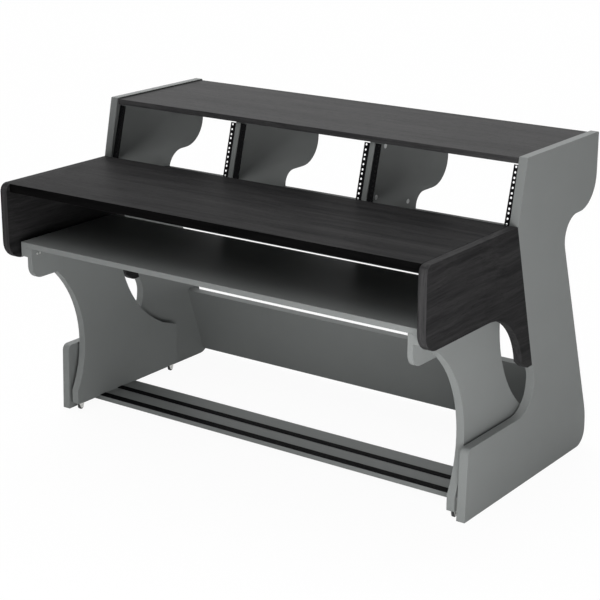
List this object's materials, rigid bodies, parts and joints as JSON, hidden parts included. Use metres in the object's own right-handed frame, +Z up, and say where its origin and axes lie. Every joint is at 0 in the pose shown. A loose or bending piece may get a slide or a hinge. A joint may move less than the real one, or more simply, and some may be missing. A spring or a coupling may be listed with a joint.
{
  "type": "studio desk",
  "caption": "Studio desk with a wood-grain desktop and top shelf, C-shaped grey sides, a leaning rack, and a keyboard tray that rolls out on a castor trolley with a footrest.",
  "frame": {"origin": "on the floor, in the middle of the desk's width and depth", "axes": "+X to the right of someone who sits at the desk, +Y to the back, +Z up"},
  "size_m": [1.57, 0.991, 1.018],
  "materials": {
    "grey_board": "satin grey laminate on board",
    "wenge_board": "near-black wood grain laminate on board",
    "black_steel": "black powder coat",
    "zinc_steel": "bright zinc",
    "black_plastic": "satin black",
    "black_rubber": "matte black"
  },
  "bodies": {
    "desk": {"side_panel_left": "grey_board", "side_panel_right": "grey_board", "side_cheek_left": "wenge_board", "side_cheek_right": "wenge_board", "divider_left": "grey_board", "divider_right": "grey_board", "desktop": "wenge_board", "top_shelf": "wenge_board", "rear_beam": "grey_board", "modesty_panel": "grey_board", "rack_rail_bay_1_left": "black_steel", "rack_rail_bay_1_right": "black_steel", "rack_rail_bay_2_left": "black_steel", "rack_rail_bay_2_right": "black_steel", "rack_rail_bay_3_left": "black_steel", "rack_rail_bay_3_right": "black_steel", "rail_screw_bay_1_left_top": "black_steel", "rail_screw_bay_1_left_bottom": "black_steel", "rail_screw_bay_1_right_top": "black_steel", "rail_screw_bay_1_right_bottom": "black_steel", "rail_screw_bay_2_left_top": "black_steel", "rail_screw_bay_2_left_bottom": "black_steel", "rail_screw_bay_2_right_top": "black_steel", "rail_screw_bay_2_right_bottom": "black_steel", "rail_screw_bay_3_left_top": "black_steel", "rail_screw_bay_3_left_bottom": "black_steel", "rail_screw_bay_3_right_top": "black_steel", "rail_screw_bay_3_right_bottom": "black_steel"},
    "trolley": {"keyboard_tray": "grey_board", "footrest": "grey_board", "footrest_strip_front": "black_rubber", "footrest_strip_rear": "black_rubber", "trolley_leg_left": "grey_board", "trolley_leg_right": "grey_board", "tray_arm_left": "grey_board", "tray_arm_right": "grey_board", "arm_screw_left_front": "zinc_steel", "arm_screw_left_rear": "zinc_steel", "arm_screw_right_front": "zinc_steel", "arm_screw_right_rear": "zinc_steel", "castor_bracket_front_left": "zinc_steel", "castor_bracket_front_right": "zinc_steel", "castor_bracket_rear_left": "zinc_steel", "castor_bracket_rear_right": "zinc_steel", "castor_screw_front_left_lower": "zinc_steel", "castor_screw_front_left_upper": "zinc_steel", "castor_screw_front_right_lower": "zinc_steel", "castor_screw_front_right_upper": "zinc_steel", "castor_screw_rear_left_lower": "zinc_steel", "castor_screw_rear_left_upper": "zinc_steel", "castor_screw_rear_right_lower": "zinc_steel", "castor_screw_rear_right_upper": "zinc_steel", "castor_axle_front_left": "zinc_steel", "castor_axle_front_right": "zinc_steel", "castor_axle_rear_left": "zinc_steel", "castor_axle_rear_right": "zinc_steel"},
    "wheel_front_left": {"castor_wheel_front_left": "black_plastic"},
    "wheel_front_right": {"castor_wheel_front_right": "black_plastic"},
    "wheel_rear_left": {"castor_wheel_rear_left": "black_plastic"},
    "wheel_rear_right": {"castor_wheel_rear_right": "black_plastic"}
  },
  "joints": [
    {"name": "trolley_slide", "type": "slide", "parent": "desk", "child": "trolley", "axis": [0, -1, 0], "range_m": [0, 0.4]},
    {"name": "wheel_front_left_spin", "type": "hinge", "parent": "trolley", "child": "wheel_front_left", "pos_m": [-0.72755, -0.2331, 0.0105], "axis": [1, 0, 0], "continuous": true},
    {"name": "wheel_front_right_spin", "type": "hinge", "parent": "trolley", "child": "wheel_front_right", "pos_m": [0.73655, -0.2331, 0.0105], "axis": [1, 0, 0], "continuous": true},
    {"name": "wheel_rear_left_spin", "type": "hinge", "parent": "trolley", "child": "wheel_rear_left", "pos_m": [-0.72755, 0.236, 0.0105], "axis": [1, 0, 0], "continuous": true},
    {"name": "wheel_rear_right_spin", "type": "hinge", "parent": "trolley", "child": "wheel_rear_right", "pos_m": [0.73655, 0.236, 0.0105], "axis": [1, 0, 0], "continuous": true}
  ]
}
